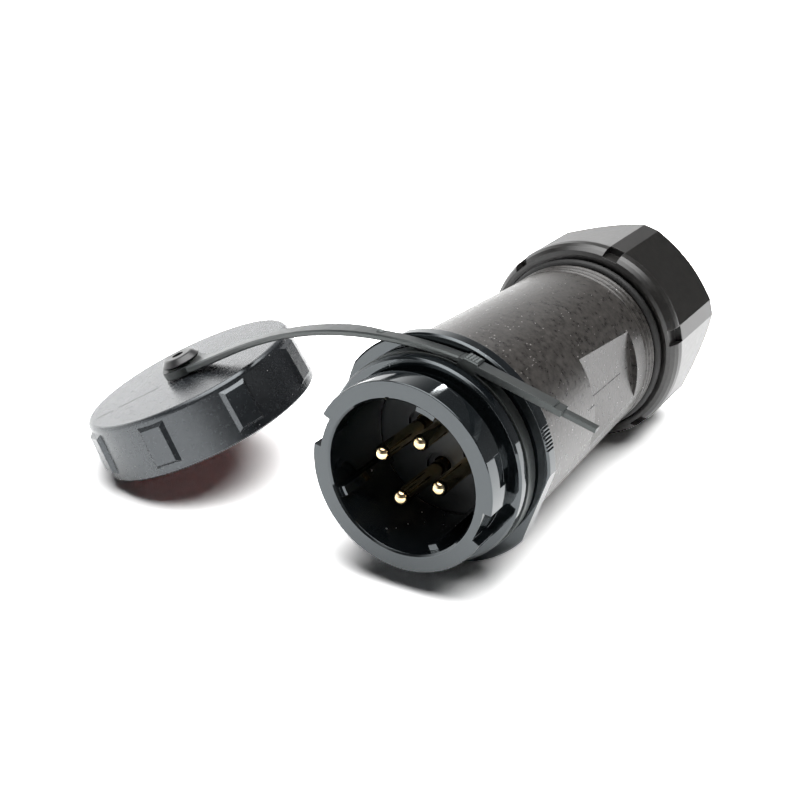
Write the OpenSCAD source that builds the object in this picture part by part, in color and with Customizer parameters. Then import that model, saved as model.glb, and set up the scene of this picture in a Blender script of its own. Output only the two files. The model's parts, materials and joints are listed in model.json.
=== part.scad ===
// Four-pole circular power connector for a free cable end, lying on its side with its sealing cap
// taken off and held by a moulded strap. The axis of the connector runs along +Y, the mating face
// looks along -Y with its rim in the plane y = 0, and +Z is up. Lengths are in millimetres.

/* [Resting pose] */
// Turn of the connector about its axis as it lies, 0 with the main key on top
lie_roll = -18.5; // [-20:0.5:20]
// Place of the cap's rim centre along X
cap_x = -51; // [-60:0.5:-46]
// Place of the cap's rim centre along Y
cap_y = 20.5; // [14:0.5:24]
// Tilt of the cap's axis from the vertical
cap_tilt = 24.2; // [20:0.2:28]
// Compass direction in which the cap's axis leans
cap_lean = 204; // [196:1:212]

/* [Bayonet lip] */
// Outer diameter of the lip
lip_d = 30; // [29.4:0.1:31]
// Depth of the lip along the axis
lip_len = 4.6; // [4.2:0.1:5]
// Rounding of the lip's front edge
rim_round = 0.2; // [0.1:0.05:0.4]
// Thickness of the lip left in the locking pocket
pocket_floor = 2.5; // [2:0.1:3]
// Width of the entry slot in degrees
entry_angle = 21; // [18:0.5:24]
// Width of the hump between entry and pocket in degrees
hump_angle = 13; // [10:0.5:15]
// Width of the locking pocket in degrees
pocket_angle = 18; // [15:0.5:21]
// Length of the ramp behind the pocket in degrees
ramp_angle = 20; // [14:1:24]
// Step at the low end of the ramp
ramp_drop = 0.6; // [0.3:0.1:0.9]

/* [Mating shell] */
// Outer diameter of the spigot tube behind the lip
spigot_d = 27.3; // [27:0.1:27.8]
// Bore of the contact socket
socket_d = 24.3; // [24:0.1:24.5]
// Depth of the socket from the rim to the face of the insert
socket_len = 15; // [14:0.1:16]
// Gap between the lip and the sealing shoulder
lip_gap = 1.6; // [1.3:0.1:2]
// Outer diameter of the sealing shoulder
shoulder_d = 32.8; // [32.4:0.1:33]
// Length of the sealing shoulder
shoulder_len = 2; // [1.6:0.1:2.4]
// Diameter of the neck that the strap runs round
neck_d = 30.4; // [30:0.1:30.8]
// Length of the neck
neck_len = 2.8; // [2.7:0.1:3.4]
// Diameter of the flange
flange_d = 37.2; // [36.8:0.1:37.8]
// Width across the two flats of the flange
flange_af = 35; // [34.6:0.1:35.6]
// Thickness of the flange
flange_len = 2.4; // [2:0.1:3]
// Outer diameter of the thread that screws into the barrel
shell_thread_d = 27.8; // [27.6:0.1:28]
// Length of that thread
shell_thread_len = 12; // [11:0.5:13]

/* [Keys] */
// Width of the main key rib
key_w = 3.3; // [2.8:0.1:3.8]
// Height of the main key rib
key_h = 1.2; // [0.9:0.1:1.5]
// Width of the two small key ribs
small_key_w = 1.6; // [1.2:0.1:2]
// Height of the two small key ribs
small_key_h = 1.1; // [0.8:0.1:1.4]
// Setback of the ribs from the rim
key_setback = 1; // [0.6:0.1:1.6]

/* [Contacts] */
// Number of contact pins
pin_count = 4; // [4:1:4]
// Diameter of a contact pin
pin_d = 2.5; // [2.2:0.1:2.8]
// Diameter of the circle of pins
pin_circle_d = 10.2; // [9.8:0.1:10.6]
// Diameter of the pin's root in the insert
pin_root_d = 3; // [2.9:0.1:3.2]
// Setback of the pin tips from the rim
pin_setback = 2.2; // [1.8:0.1:3.2]
// Diameter of the screw terminal on a pin
terminal_d = 4; // [3.8:0.1:4.4]
// Length of the screw terminal
terminal_len = 7; // [6:0.1:8]
// Diameter of the wire hole in a terminal
wire_hole_d = 2.4; // [2.2:0.1:2.6]
// Depth of the wire hole
wire_hole_len = 5.5; // [5:0.1:5.8]
// Diameter of a terminal screw
screw_d = 2; // [1.8:0.1:2.2]
// Length of a terminal screw
screw_len = 1.6; // [1.4:0.1:2]

/* [Insert] */
// Diameter of the flange of the insert
insert_d = 25.4; // [25.2:0.1:25.5]
// Thickness of the flange of the insert
insert_flange_len = 3.5; // [3:0.1:4]
// Diameter of the body of the insert
insert_body_d = 22.8; // [22:0.1:23]
// Whole length of the insert
insert_len = 9; // [8.5:0.1:10]
// Thickness of the flat seal in front of the insert
insert_gasket_t = 0.5; // [0.4:0.1:0.8]
// Length of the threaded ring that holds the insert
insert_ring_len = 3; // [2.5:0.1:3.5]

/* [Barrel] */
// Diameter of the barrel at the flange
barrel_front_d = 33.4; // [33:0.1:33.8]
// Diameter of the barrel at the rim
barrel_back_d = 30.4; // [30.2:0.1:31]
// Length of the barrel from the flange to the rim
barrel_len = 44.6; // [42:0.2:48]
// Length of the ringed rim
rim_len = 4.2; // [3.6:0.1:4.8]
// Bore of the barrel
barrel_bore_d = 24; // [23.6:0.1:24.4]
// Width across the two flats for a spanner
flat_af = 28.4; // [28:0.1:28.8]
// Length of those flats
flat_len = 20; // [16:0.5:22]
// Distance of those flats from the rim
flat_setback = 4.4; // [3:0.1:6]
// Thickness of the seal ring between shell and barrel
barrel_seal_t = 1.5; // [1.2:0.1:1.8]

/* [Gland] */
// Outer diameter of the gland thread
gland_thread_d = 28.6; // [28.4:0.1:29]
// Length of the gland thread
gland_thread_len = 13.8; // [13:0.2:15]
// Diameter of the seat of the gland cage
cage_seat_d = 23.2; // [23:0.1:23.6]
// Depth of that seat
cage_seat_len = 12; // [11:0.1:12.6]
// Bore of the gland cage
cage_bore_d = 18; // [17.6:0.1:18.4]
// Diameter of the flange of the gland cage
cage_flange_d = 26.6; // [26.2:0.1:27]
// Thickness of the flange of the gland cage
cage_flange_len = 1.2; // [1:0.1:1.5]
// Length of the clamping fingers
finger_len = 3.8; // [3.2:0.1:4.4]
// Number of clamping fingers
finger_count = 8; // [6:1:10]
// Width of the slot between two fingers
finger_slot = 2; // [1.6:0.1:2.4]
// Bore of the cable seal
seal_bore_d = 9; // [7:0.5:11]
// Hole in the barrel for the cores behind the cable seal
core_hole_d = 15; // [13:0.5:16]
// Thickness of the thrust washer
washer_len = 0.8; // [0.6:0.1:1]

/* [Gland nut] */
// Gap between the barrel's rim and the nut
nut_gap = 1.5; // [1.2:0.1:2]
// Diameter over the collar of the nut
collar_d = 37.2; // [36.8:0.1:37.8]
// Diameter of the mouth of the collar
collar_mouth_d = 33.6; // [33.4:0.1:34]
// Length of the conical front of the collar
collar_cone_len = 2.7; // [2.4:0.1:3.2]
// Length of the straight land behind that cone
collar_land_len = 0.7; // [0.5:0.1:1]
// Width across the flats of the nut
nut_af = 33.6; // [33.2:0.1:34]
// Width across the cut corners of the nut
nut_corner_af = 37.1; // [36.8:0.1:37.4]
// Diameter of the cable hole in the nut
cable_hole_d = 14; // [12:0.5:16]
// Thickness of the end wall of the nut
nut_wall = 4.5; // [3.8:0.1:5]
// Length of the chamfer at the end of the nut, at its corners
nut_chamfer_len = 3; // [2.4:0.1:3.6]
// Inward reach of that chamfer from the corners
nut_chamfer_in = 2.2; // [1.8:0.1:2.6]
// Turn of the nut's flats against the flange's flats
nut_clock = 2.3; // [0:0.1:60]
// Section diameter of the seal ring in the mouth of the nut
nut_seal_t = 1.7; // [1.4:0.1:1.9]

/* [Cap] */
// Diameter of the cap at its rim
cap_d = 39.8; // [39.4:0.1:40.4]
// Height of the cap
cap_h = 10.15; // [9.6:0.05:11]
// Draft of the side over the whole height
cap_draft = 0.6; // [0.3:0.1:0.9]
// Rounding of the top edge
cap_round = 0.8; // [0.5:0.1:1.1]
// Bore of the cap
cap_bore_d = 33.5; // [33.3:0.1:34.4]
// Thickness of the top
cap_top_t = 2; // [1.7:0.1:2.4]
// Number of grip pads
pad_count = 8; // [6:1:10]
// Width of a grip pad at its foot
pad_w = 4.9; // [4.2:0.1:5.6]
// Height that a grip pad stands proud
pad_proud = 0.6; // [0.4:0.1:0.9]
// Width of the slope round a pad
pad_slope = 0.6; // [0.3:0.1:0.9]
// Distance of a pad from the rim
pad_from_rim = 1.5; // [1.2:0.1:2]
// Distance of a pad from the top
pad_from_top = 1.15; // [1:0.05:1.8]
// Reach of the bayonet lugs inside the cap
lug_reach = 2.5; // [2:0.1:2.7]
// Thickness of the bayonet lugs
lug_t = 1.2; // [1:0.1:1.4]
// Thickness of the cap's gasket
gasket_t = 1.2; // [1:0.1:1.5]
// Bore of the cap's gasket
gasket_bore_d = 23; // [20:0.5:25]

/* [Cap button] */
// Diameter of the button's head
button_d = 7; // [6.4:0.1:7.4]
// Height of the button's head
button_h = 1.4; // [1.2:0.1:1.8]
// Diameter of the button's shank
shank_d = 2.5; // [2.2:0.1:2.8]
// Inward reach of the bevel round the button's head
button_bevel = 0.8; // [0.5:0.1:1.2]

/* [Strap] */
// Width of the strap
strap_w = 2.2; // [2:0.05:2.35]
// Thickness of the strap
strap_t = 1.1; // [0.9:0.05:1.25]
// Angle of the strap's head round the neck, from +X towards +Z
head_angle = 74; // [68:1:80]
// Slope of the arm where it leaves the head
arm_slope = 9; // [4:1:14]
// Pull of the curve at the cap's end of the arm
arm_pull_cap = 10; // [6:0.5:14]
// Pull of the curve at the head's end of the arm
arm_pull_head = 29; // [24:0.5:34]
// Length of the tail past the head
tail_len = 17; // [14:0.5:20]
// Length of the narrow tongue at the tail's end
tongue_len = 5.2; // [4:0.2:7]
// Diameter of the eyelet
eyelet_d = 7.6; // [7.2:0.1:8]
// Length over which the arm narrows from the eyelet
flare_len = 7; // [5:0.5:9]
// Thickness of the eyelet
eyelet_t = 1.4; // [1.2:0.05:1.6]
// Width of the arm between eyelet and head
arm_w = 3.1; // [2.6:0.1:3.4]
// Thickness of the arm there
arm_t = 0.95; // [0.8:0.05:1]

/* [Clearances] */
// Gap between pieces that are fitted together, on the radius
fit_gap = 0.05; // [0.03:0.01:0.08]
// Gap between the shank of the button and the eyelet, on the radius
pivot_gap = 0.08; // [0.05:0.01:0.1]
// Gap between pieces that move past each other
run_gap = 0.3; // [0.2:0.05:0.35]

/* [Hidden] */
$fn = 96;
// A cut starts and ends this far outside the solid that it cuts
past = 0.5;
// Small edge break on moulded pieces
edge = 0.3;
// Ring-shaped pieces that are stepped rather than round have this many points on a rounded corner
round_steps = 4;

lip_r = lip_d / 2;
spigot_r = spigot_d / 2;
socket_r = socket_d / 2;
shoulder_r = shoulder_d / 2;
neck_r = neck_d / 2;
shell_thread_r = shell_thread_d / 2;
insert_r = insert_d / 2;
gland_thread_r = gland_thread_d / 2;

// Places along the axis, counted from the rim of the mating face
shoulder_y = lip_len + lip_gap;
neck_y = shoulder_y + shoulder_len;
flange_y = neck_y + neck_len;
barrel_y = flange_y + flange_len;
shell_end_y = barrel_y + shell_thread_len;
rim_y = barrel_y + barrel_len;
gland_thread_y = rim_y + rim_len;
gland_end_y = gland_thread_y + gland_thread_len;
cage_seat_y = gland_end_y - cage_seat_len;
nut_y = gland_thread_y + nut_gap;
cage_flange_end_y = gland_end_y + cage_flange_len;
finger_end_y = cage_flange_end_y + finger_len;
washer_y = finger_end_y + run_gap;
nut_wall_y = washer_y + washer_len;
nut_end_y = nut_wall_y + nut_wall;
insert_gasket_y = socket_len - insert_gasket_t;
insert_end_y = socket_len + insert_len;

// The flange and the nut's collar both lie on the surface below
floor_z = -flange_d / 2;

// Directions of the features of the shell, with the main key on top
key_angle = 90;
small_key_angles = [-45, -135];
entry_angles = [0, 180];
flange_flat_angles = [0, 180];
barrel_flat_angles = [28, 208];
mould_groove_angle = 118;
mould_groove_w = 0.7;
mould_groove_depth = 0.4;
mould_groove_len = 12;
bead_count = 3;
bead_steps = 8;
bead_depth = 0.4;
bead_h = 0.55;
ridge_count = 7;
ridge_angle = 42;
ridge_step = 1.7;
ridge_depth = 0.25;
ridge_w = 0.35;

// The cap's own axis and the centre of its flat top
cap_axis = [sin(cap_tilt) * cos(cap_lean), sin(cap_tilt) * sin(cap_lean), cos(cap_tilt)];
cap_rim = [cap_x, cap_y, floor_z + cap_d / 2 * sin(cap_tilt)];
cap_top = cap_rim + cap_h * cap_axis;
cap_bore_len = cap_h - cap_top_t;
pad_phase = -5;
lug_angle = entry_angle - 3;

// The strap lies in the neck, a running gap clear of it, and its head stands on the loop
strap_y = neck_y + 0.1 + strap_w / 2;
loop_in_r = neck_r + run_gap;
loop_out_r = loop_in_r + strap_t;
head_r = loop_out_r + strap_t / 2;
head_point = [head_r * cos(head_angle), strap_y, head_r * sin(head_angle)];
head_shift = 1.9;
head_half = 1.2;
head_rise = 0.3;
tongue_w = 0.55 * strap_w;
tongue_drop = 0.35;
tail_step = 1.4;
tail_tooth_pitch = 0.9;
tail_tooth_depth = 0.2;
eyelet_point = cap_top + (run_gap + strap_t / 2) * cap_axis;
strap_chamfer = 0.2 * strap_t;
arm_rings = 30;

button_seat = run_gap + eyelet_t + run_gap;

function unit(v) = v / norm(v);
function across(v, n) = unit(v - (v * n) * n);
function bezier(p, t) =
    (1 - t) ^ 3 * p[0] + 3 * (1 - t) ^ 2 * t * p[1] + 3 * (1 - t) * t ^ 2 * p[2] + t ^ 3 * p[3];
function bezier_slope(p, t) =
    3 * (1 - t) ^ 2 * (p[1] - p[0]) + 6 * (1 - t) * t * (p[2] - p[1]) + 3 * t ^ 2 * (p[3] - p[2]);

// The arm leaves the eyelet along the cap's top and reaches the head along the neck
arm_out = across(head_point - eyelet_point, cap_axis);
arm_in = [cos(arm_slope), 0, -sin(arm_slope)];
arm_start = eyelet_point + (eyelet_d / 2 - strap_t) * arm_out;
arm_curve = [arm_start, arm_start + arm_pull_cap * arm_out, head_point - arm_pull_head * arm_in, head_point];
arm_side_cap = cross(cap_axis, arm_out);
arm_side_head = [0, 1, 0];

// Turns what is modelled at +X about the connector's axis by an angle from +X towards +Z
module around(angle) {
    rotate([0, -angle, 0]) children();
}

// The connector as it lies
module lying() {
    around(lie_roll) children();
}

// Revolves points of radius and depth about the connector's axis
module turned(points) {
    rotate([-90, 0, 0]) rotate_extrude() polygon(points);
}

// The same over part of a turn, from one angle to a larger one
module turned_part(points, from, to) {
    around(to) rotate([-90, 0, 0]) rotate_extrude(angle = to - from) polygon(points);
}

module tube(out_r, in_r, from, to) {
    turned([[in_r, from], [out_r, from], [out_r, to], [in_r, to]]);
}

module rod(r, from, to) {
    translate([0, from, 0]) rotate([-90, 0, 0]) cylinder(r = r, h = to - from);
}

// A box section of a ring over part of a turn
module ring_part(out_r, in_r, from_y, to_y, from, to) {
    turned_part([[in_r, from_y], [out_r, from_y], [out_r, to_y], [in_r, to_y]], from, to);
}

// A prism of regular hexagon section along the axis, its flats at 0, 60, 120 degrees and so on
module hex_bar(across_flats, from, to) {
    translate([0, from, 0]) rotate([-90, 0, 0]) rotate([0, 0, 30])
        linear_extrude(to - from) circle(d = across_flats / cos(30), $fn = 6);
}

// Lip, spigot, sealing shoulder, strap neck and thread as one turned form
module shell_form() {
    turned([
        [socket_r + edge, 0],
        [lip_r - rim_round, 0],
        for (i = [1 : round_steps])
            [lip_r - rim_round * (1 - sin(90 * i / round_steps)), rim_round * (1 - cos(90 * i / round_steps))],
        [lip_r, lip_len - edge],
        [lip_r - edge, lip_len],
        [spigot_r, lip_len],
        [spigot_r, shoulder_y],
        [shoulder_r - edge, shoulder_y],
        [shoulder_r, shoulder_y + edge],
        [shoulder_r, neck_y - edge],
        [shoulder_r - edge, neck_y],
        [neck_r, neck_y],
        [neck_r, barrel_y],
        [shell_thread_r, barrel_y],
        [shell_thread_r, shell_end_y - edge],
        [shell_thread_r - edge, shell_end_y],
        [insert_r + fit_gap, shell_end_y],
        [insert_r + fit_gap, insert_gasket_y],
        [socket_r, insert_gasket_y],
        [socket_r, edge]
    ]);
}

// Round flange with broken edges and two spanner flats
module flange() {
    flange_r = flange_d / 2;
    difference() {
        turned([
            [insert_r + fit_gap, flange_y],
            [flange_r - edge, flange_y],
            [flange_r, flange_y + edge],
            [flange_r, barrel_y - edge],
            [flange_r - edge, barrel_y],
            [insert_r + fit_gap, barrel_y]
        ]);
        for (a = flange_flat_angles) around(a) translate([flange_af / 2, flange_y - past, -flange_d / 2])
            cube([flange_d, flange_len + 2 * past, flange_d]);
    }
}

// One bayonet track: entry slot through the lip, hump, locking pocket and the ramp up to full depth
module bayonet_track() {
    half_entry = entry_angle / 2;
    pocket_from = half_entry + hump_angle;
    ramp_from = pocket_from + pocket_angle;
    ramp_to = ramp_from + ramp_angle;
    floor_r = spigot_r + fit_gap;
    ramp_half = lip_r * sin(ramp_angle / 2);
    pocket_end = -ramp_half - lip_r * sin(pocket_angle);
    ring_part(lip_r + past, floor_r, -past, lip_len + past, -half_entry, half_entry);
    intersection() {
        ring_part(lip_r + past, floor_r, 0, lip_len + past, pocket_from, ramp_to + ramp_angle);
        around((ramp_from + ramp_to) / 2) rotate([90, 0, 90]) linear_extrude(lip_r + 2 * past)
            polygon([[pocket_floor, pocket_end], [pocket_floor, -ramp_half], [lip_len - ramp_drop, -ramp_half],
                [lip_len, ramp_half], [lip_len + 2 * past, ramp_half], [lip_len + 2 * past, pocket_end]]);
    }
}

module key_rib(width, height, angle) {
    half = asin(width / 2 / socket_r);
    ring_part(socket_r + edge, socket_r - height, key_setback, insert_gasket_y, angle - half, angle + half);
}

// Fine ridges across the flange's edge beside one flat
module corner_ridges() {
    for (i = [0 : ridge_count - 1])
        around(ridge_angle - i * ridge_step) translate([flange_d / 2, flange_y - past, 0]) rotate([-90, 0, 0])
            linear_extrude(flange_len + 2 * past)
                polygon([[-ridge_depth, 0], [ridge_depth, ridge_w], [ridge_depth, -ridge_w]]);
}

module mating_shell() color([0.1, 0.11, 0.12]) lying() difference() {
    union() {
        shell_form();
        flange();
        key_rib(key_w, key_h, key_angle);
        for (a = small_key_angles) key_rib(small_key_w, small_key_h, a);
    }
    for (a = entry_angles) around(a) bayonet_track();
    around(mould_groove_angle) translate([socket_r - past, -past, -mould_groove_w / 2])
        cube([past + mould_groove_depth, mould_groove_len + past, mould_groove_w]);
    corner_ridges();
}

module at_pin(i) {
    around(key_angle - 360 / pin_count * i) translate([pin_circle_d / 2, 0, 0]) children();
}

// Thin flat seal between the step in the shell and the flange of the insert
module insert_gasket() color([0.05, 0.05, 0.05]) lying()
    tube(insert_r, socket_r + fit_gap, insert_gasket_y, socket_len);

// Depth of the round recess in the insert's face about each pin
pin_recess = 0.8;

module pin_insert() color([0.12, 0.12, 0.13]) lying() difference() {
    recess_r = pin_root_d / 2 + 0.9;
    turned([
        [0, socket_len], [insert_r - edge, socket_len], [insert_r, socket_len + edge],
        [insert_r, socket_len + insert_flange_len], [insert_body_d / 2, socket_len + insert_flange_len],
        [insert_body_d / 2, insert_end_y], [0, insert_end_y]
    ]);
    for (i = [0 : pin_count - 1]) at_pin(i) {
        rod(pin_root_d / 2 + fit_gap, socket_len - past, insert_end_y + past);
        rod(recess_r, socket_len - past, socket_len + pin_recess);
    }
}

// Place of a terminal screw along the axis
screw_y = insert_end_y + terminal_len - wire_hole_len / 2;

// A turned pin with a round tip, its thicker root in the insert and its screw terminal behind
module contact_pin(i) color([0.85, 0.66, 0.28]) lying() at_pin(i) difference() {
    union() {
        translate([0, pin_setback + pin_d / 2, 0]) sphere(d = pin_d);
        rod(pin_d / 2, pin_setback + pin_d / 2, socket_len + pin_recess);
        rod(pin_root_d / 2, socket_len + pin_recess, insert_end_y);
        rod(terminal_d / 2, insert_end_y, insert_end_y + terminal_len);
    }
    rod(wire_hole_d / 2, insert_end_y + terminal_len - wire_hole_len, insert_end_y + terminal_len + past);
    translate([0, screw_y, 0]) rotate([0, 90, 0]) cylinder(d = screw_d + 2 * fit_gap, h = terminal_d);
}

module contact_pin_1() contact_pin(0);
module contact_pin_2() contact_pin(1);
module contact_pin_3() contact_pin(2);
module contact_pin_4() contact_pin(3);

// Slotted grub screws that stand in the terminals, pointing away from the axis
module terminal_screws() color([0.75, 0.75, 0.77]) lying() for (i = [0 : pin_count - 1])
    at_pin(i) translate([wire_hole_d / 4, screw_y, 0]) rotate([0, 90, 0]) difference() {
        slot_w = 0.2 * screw_d;
        slot_depth = 0.3 * screw_len;
        cylinder(d = screw_d, h = screw_len);
        translate([-screw_d, -slot_w / 2, screw_len - slot_depth]) cube([2 * screw_d, slot_w, screw_d]);
    }

// Threaded ring with two spanner slots that holds the insert in the shell
module insert_ring() color([0.16, 0.16, 0.17]) lying() difference() {
    ring_y = socket_len + insert_flange_len;
    slot_w = 2;
    slot_depth = insert_ring_len / 2;
    tube(insert_r, insert_body_d / 2 + fit_gap, ring_y, ring_y + insert_ring_len);
    for (a = entry_angles) around(a)
        translate([0, ring_y + insert_ring_len - slot_depth, -slot_w / 2])
            cube([insert_d, insert_ring_len, slot_w]);
}

barrel_seal_seat_r = shell_thread_r + fit_gap + barrel_seal_t / 2;

// Flat seal ring squeezed between the flange and the barrel
module barrel_seal() color([0.05, 0.05, 0.05]) lying()
    tube(barrel_seal_seat_r, shell_thread_r + fit_gap, barrel_y, barrel_y + barrel_seal_t);

// Tapered barrel with round beads on its rim, the gland thread behind it
module barrel_form() {
    front_r = barrel_front_d / 2;
    back_r = barrel_back_d / 2;
    bead_len = rim_len / bead_count;
    turned([
        [barrel_seal_seat_r + fit_gap, barrel_y],
        [front_r - edge, barrel_y],
        [front_r, barrel_y + edge],
        [back_r, rim_y],
        for (b = [0 : bead_count - 1]) for (i = [0 : bead_steps])
            [back_r - bead_depth + bead_h * sin(180 * i / bead_steps), rim_y + (b + i / bead_steps) * bead_len],
        [gland_thread_r, gland_thread_y],
        [gland_thread_r, gland_end_y - edge],
        [gland_thread_r - edge, gland_end_y],
        [cage_seat_d / 2, gland_end_y],
        [cage_seat_d / 2, cage_seat_y],
        [core_hole_d / 2, cage_seat_y],
        [core_hole_d / 2, cage_seat_y - (barrel_bore_d - core_hole_d) / 2],
        [barrel_bore_d / 2, cage_seat_y - (barrel_bore_d - core_hole_d)],
        [barrel_bore_d / 2, shell_end_y + edge],
        [shell_thread_r + fit_gap, shell_end_y + edge],
        [shell_thread_r + fit_gap, barrel_y + barrel_seal_t + fit_gap],
        [barrel_seal_seat_r + fit_gap, barrel_y + barrel_seal_t + fit_gap]
    ]);
}

module rear_barrel() color([0.2, 0.19, 0.18]) lying() difference() {
    barrel_form();
    for (a = barrel_flat_angles) around(a)
        translate([flat_af / 2, rim_y - flat_setback - flat_len, -barrel_front_d / 2])
            cube([barrel_front_d, flat_len, barrel_front_d]);
}

// Round seal ring on the gland thread, in the mouth of the nut
module nut_seal() color([0.04, 0.04, 0.04]) lying()
    translate([0, gland_thread_y + nut_seal_t / 2, 0]) rotate([-90, 0, 0]) rotate_extrude()
        translate([gland_thread_r + fit_gap + nut_seal_t / 2, 0]) circle(d = nut_seal_t, $fn = 32);

// Cage that sits in the barrel's end, its slotted fingers tapering towards the nut
module gland_cage() color([0.75, 0.74, 0.7]) lying() difference() {
    sleeve_r = cage_seat_d / 2 - fit_gap;
    finger_base_r = sleeve_r - edge;
    finger_tip_r = cage_bore_d / 2 + 1.4;
    turned([
        [cage_bore_d / 2, cage_seat_y + fit_gap],
        [sleeve_r, cage_seat_y + fit_gap],
        [sleeve_r, gland_end_y],
        [cage_flange_d / 2, gland_end_y],
        [cage_flange_d / 2, cage_flange_end_y],
        [finger_base_r, cage_flange_end_y],
        [finger_tip_r, finger_end_y],
        [cage_bore_d / 2, finger_end_y]
    ]);
    for (i = [0 : finger_count - 1]) around(360 / finger_count * i)
        translate([cage_bore_d / 4, cage_flange_end_y, -finger_slot / 2])
            cube([cage_flange_d, finger_len + past, finger_slot]);
}

// Rubber bush round the cable, bellied so that it squeezes evenly
module cable_seal() color([0.06, 0.06, 0.06]) lying() {
    seal_r = cage_bore_d / 2 - fit_gap;
    mouth_r = seal_bore_d / 2 + 0.8;
    end_y = finger_end_y - 1;
    turned([
        [mouth_r, cage_seat_y], [seal_r, cage_seat_y], [seal_r, end_y], [mouth_r, end_y],
        [seal_bore_d / 2, end_y - 1], [seal_bore_d / 2, cage_seat_y + 1]
    ]);
}

nut_bore_r = gland_thread_r + run_gap;
washer_r = cage_bore_d / 2 + 2;

module thrust_washer() color([0.8, 0.8, 0.78]) lying()
    tube(washer_r, cable_hole_d / 2, washer_y, nut_wall_y);

// Conical collar with a notch at each corner, six flats with cut corners, and a chamfered back end
module nut_form() {
    collar_r = collar_d / 2;
    mouth_r = collar_mouth_d / 2;
    collar_end_y = nut_y + collar_cone_len + collar_land_len;
    end_r = nut_corner_af / 2 - nut_chamfer_in;
    turned([
        [nut_bore_r, nut_y], [mouth_r, nut_y],
        for (i = [1 : round_steps])
            [mouth_r + (collar_r - mouth_r) * sin(90 * i / round_steps),
                nut_y + collar_cone_len * (1 - cos(90 * i / round_steps))],
        [collar_r, collar_end_y - edge], [collar_r - edge, collar_end_y], [nut_bore_r, collar_end_y]
    ]);
    intersection() {
        hex_bar(nut_af, collar_end_y - edge, nut_end_y);
        around(30) hex_bar(nut_corner_af, collar_end_y - edge, nut_end_y);
        turned([
            [0, nut_y], [end_r + 2 * nut_chamfer_in, nut_y],
            [end_r + 2 * nut_chamfer_in, nut_end_y - 2 * nut_chamfer_len], [end_r, nut_end_y], [0, nut_end_y]
        ]);
    }
}

module gland_nut() color([0.13, 0.13, 0.14]) lying() around(nut_clock) difference() {
    notch_w = 2.8;
    notch_depth = 1.3;
    notch_from = nut_y - past;
    notch_to = nut_y + collar_cone_len + collar_land_len;
    seal_mouth_r = gland_thread_r + fit_gap + nut_seal_t + run_gap;
    nut_form();
    turned([
        [0, nut_y - past], [seal_mouth_r, nut_y - past], [seal_mouth_r, gland_thread_y + nut_seal_t + run_gap],
        [nut_bore_r, gland_thread_y + nut_seal_t + run_gap], [nut_bore_r, cage_flange_end_y + run_gap],
        [washer_r + fit_gap, washer_y - run_gap], [washer_r + fit_gap, nut_wall_y],
        [cable_hole_d / 2, nut_wall_y], [cable_hole_d / 2, nut_end_y - 1],
        [cable_hole_d / 2 + 1, nut_end_y + fit_gap], [0, nut_end_y + fit_gap]
    ]);
    for (i = [0 : 5]) around(30 + 60 * i)
        translate([collar_d / 2 - notch_depth, notch_from, -notch_w / 2])
            cube([collar_d, notch_to - notch_from, notch_w]);
}

// Places what is modelled on the cap's own axis, the rim at z = 0
module on_cap() {
    translate(cap_rim) rotate([0, cap_tilt, cap_lean]) children();
}

// Raised pad on the cap's side at +X, sloped all round
module grip_pad() {
    foot = -pad_w ^ 2 / (4 * cap_d);
    root = -1;
    half = pad_w / 2;
    low = pad_from_rim;
    high = cap_h - pad_from_top;
    translate([cap_d / 2, 0, 0]) rotate([0, -atan(cap_draft / cap_h), 0]) intersection() {
        translate([0, 0, low]) linear_extrude(high - low) polygon([
            [root, -half], [foot, -half], [pad_proud, pad_slope - half],
            [pad_proud, half - pad_slope], [foot, half], [root, half]
        ]);
        translate([0, pad_w, 0]) rotate([90, 0, 0]) linear_extrude(2 * pad_w) polygon([
            [root, low], [foot, low], [pad_proud, low + pad_slope], [pad_proud, high - pad_slope],
            [foot, high], [root, high]
        ]);
    }
}

// Drafted cup with a rounded top edge, grip pads outside and two bayonet lugs inside
module cap() color([0.24, 0.25, 0.26]) on_cap() difference() {
    rim_r = cap_d / 2;
    top_r = rim_r - cap_draft;
    bore_r = cap_bore_d / 2;
    lug_y = 1;
    union() {
        rotate_extrude() polygon([
            [bore_r + edge, 0], [rim_r - edge, 0], [rim_r, edge],
            for (i = [0 : round_steps])
                [top_r - cap_round * (1 - cos(90 * i / round_steps)),
                    cap_h - cap_round * (1 - sin(90 * i / round_steps))],
            [0, cap_h], [0, cap_bore_len], [bore_r, cap_bore_len], [bore_r, edge]
        ]);
        for (i = [0 : pad_count - 1]) rotate([0, 0, pad_phase + 360 / pad_count * i]) grip_pad();
        for (a = entry_angles) rotate([0, 0, a - lug_angle / 2]) rotate_extrude(angle = lug_angle)
            translate([bore_r - lug_reach, lug_y]) square([lug_reach + edge, lug_t]);
    }
    cylinder(d = shank_d + 2 * fit_gap, h = cap_h + past);
}

// Soft ring under the cap's top that closes on the connector's rim
module cap_gasket() color([0.55, 0.16, 0.1]) on_cap() difference() {
    gasket_r = cap_bore_d / 2 - fit_gap;
    translate([0, 0, cap_bore_len - gasket_t]) difference() {
        cylinder(r = gasket_r, h = gasket_t);
        translate([0, 0, -past]) cylinder(d = gasket_bore_d, h = gasket_t + 2 * past);
    }
}

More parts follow.
